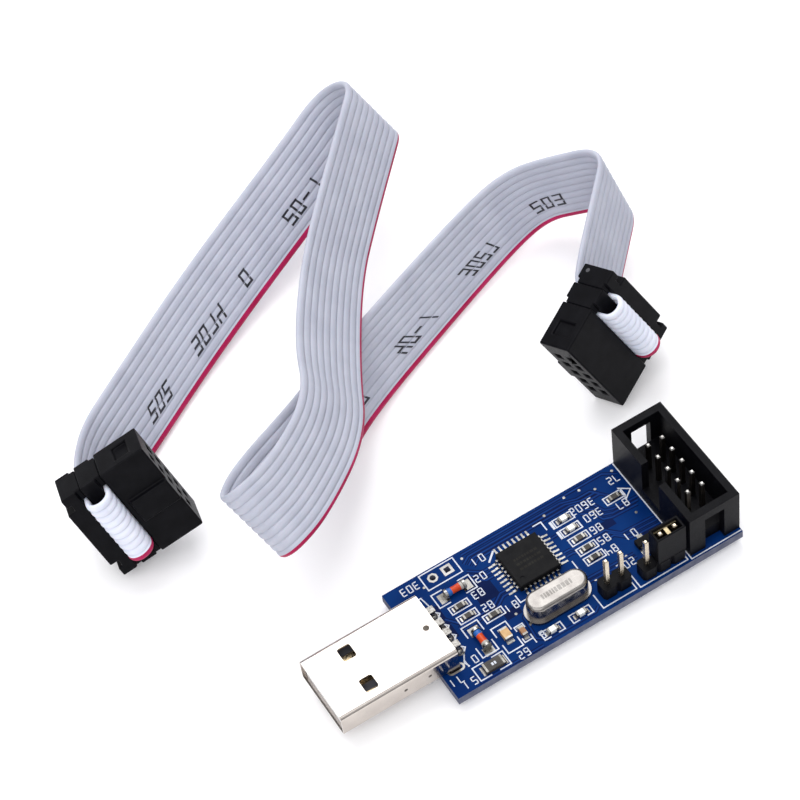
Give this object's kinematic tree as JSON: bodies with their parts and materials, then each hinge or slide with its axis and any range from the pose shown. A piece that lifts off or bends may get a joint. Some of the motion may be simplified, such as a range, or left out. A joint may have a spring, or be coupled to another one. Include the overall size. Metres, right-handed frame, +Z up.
{
  "type": "usb microcontroller programmer",
  "caption": "USB stick circuit board with a ten-pin box header, jumper headers and a loose ribbon cable with a socket at each end, for programming microcontrollers.",
  "frame": {"origin": "under the middle of the board with its plug, on the surface that the pins stand on", "axes": "+X from the USB plug to the ten-pin header, +Y across the board towards its two open holes, +Z up from the board's parts side"},
  "size_m": [0.1035, 0.0996, 0.0279],
  "materials": {
    "board_blue": "satin",
    "shell_nickel": "smooth",
    "plug_plastic": "satin",
    "black_plastic": "satin",
    "gold_contact": "polished",
    "chip_black": "matte",
    "tinned_metal": "smooth",
    "crystal_steel": "brushed",
    "diode_glass": "gloss",
    "resistor_black": "satin",
    "ceramic_tan": "satin",
    "led_lens": "gloss",
    "ribbon_grey": "satin"
  },
  "bodies": {
    "board": {"box_header_pin_01": "gold_contact", "box_header_pin_02": "gold_contact", "box_header_pin_03": "gold_contact", "box_header_pin_04": "gold_contact", "box_header_pin_05": "gold_contact", "box_header_pin_06": "gold_contact", "box_header_pin_07": "gold_contact", "box_header_pin_08": "gold_contact", "box_header_pin_09": "gold_contact", "box_header_pin_10": "gold_contact", "box_header_shroud": "black_plastic", "capacitor_1": "ceramic_tan", "capacitor_2": "ceramic_tan", "capacitor_3": "ceramic_tan", "capacitor_4": "ceramic_tan", "chip_terminations": "tinned_metal", "circuit_board": "board_blue", "crystal_base": "crystal_steel", "crystal_can": "crystal_steel", "diode_1_glass": "diode_glass", "diode_2_glass": "diode_glass", "diode_caps": "tinned_metal", "fuse": "chip_black", "jumper_header_base": "black_plastic", "jumper_header_pins": "gold_contact", "led_1": "led_lens", "led_2": "led_lens", "microcontroller_body": "chip_black", "microcontroller_leads": "tinned_metal", "pair_header_base": "black_plastic", "pair_header_pins": "gold_contact", "resistor_1": "resistor_black", "resistor_2": "resistor_black", "resistor_3": "resistor_black", "resistor_4": "resistor_black", "resistor_5": "resistor_black", "resistor_6": "resistor_black", "resistor_7": "resistor_black", "solder_joints": "tinned_metal", "transistor_body": "chip_black", "transistor_leads": "tinned_metal", "usb_contact_1": "gold_contact", "usb_contact_2": "gold_contact", "usb_contact_3": "gold_contact", "usb_contact_4": "gold_contact", "usb_shell": "shell_nickel", "usb_tongue": "plug_plastic"},
    "jumper_cap": {"jumper_cap_housing": "black_plastic", "jumper_cap_contact": "gold_contact"},
    "ribbon_set": {"ribbon_cable": "ribbon_grey", "socket_a_body": "black_plastic", "socket_a_clip": "black_plastic", "socket_a_contacts": "gold_contact", "socket_a_cover": "black_plastic", "socket_a_ribbon_loop": "ribbon_grey", "socket_b_body": "black_plastic", "socket_b_clip": "black_plastic", "socket_b_contacts": "gold_contact", "socket_b_cover": "black_plastic", "socket_b_ribbon_loop": "ribbon_grey"}
  },
  "joints": [
    {"name": "jumper_cap_pull", "type": "slide", "parent": "board", "child": "jumper_cap", "axis": [0, 0, 1], "range_m": [0, 0.0065]},
    {"name": "cable_lift", "type": "slide", "parent": "board", "child": "ribbon_set", "axis": [0, 0, 1], "range_m": [0, 0.03]}
  ]
}
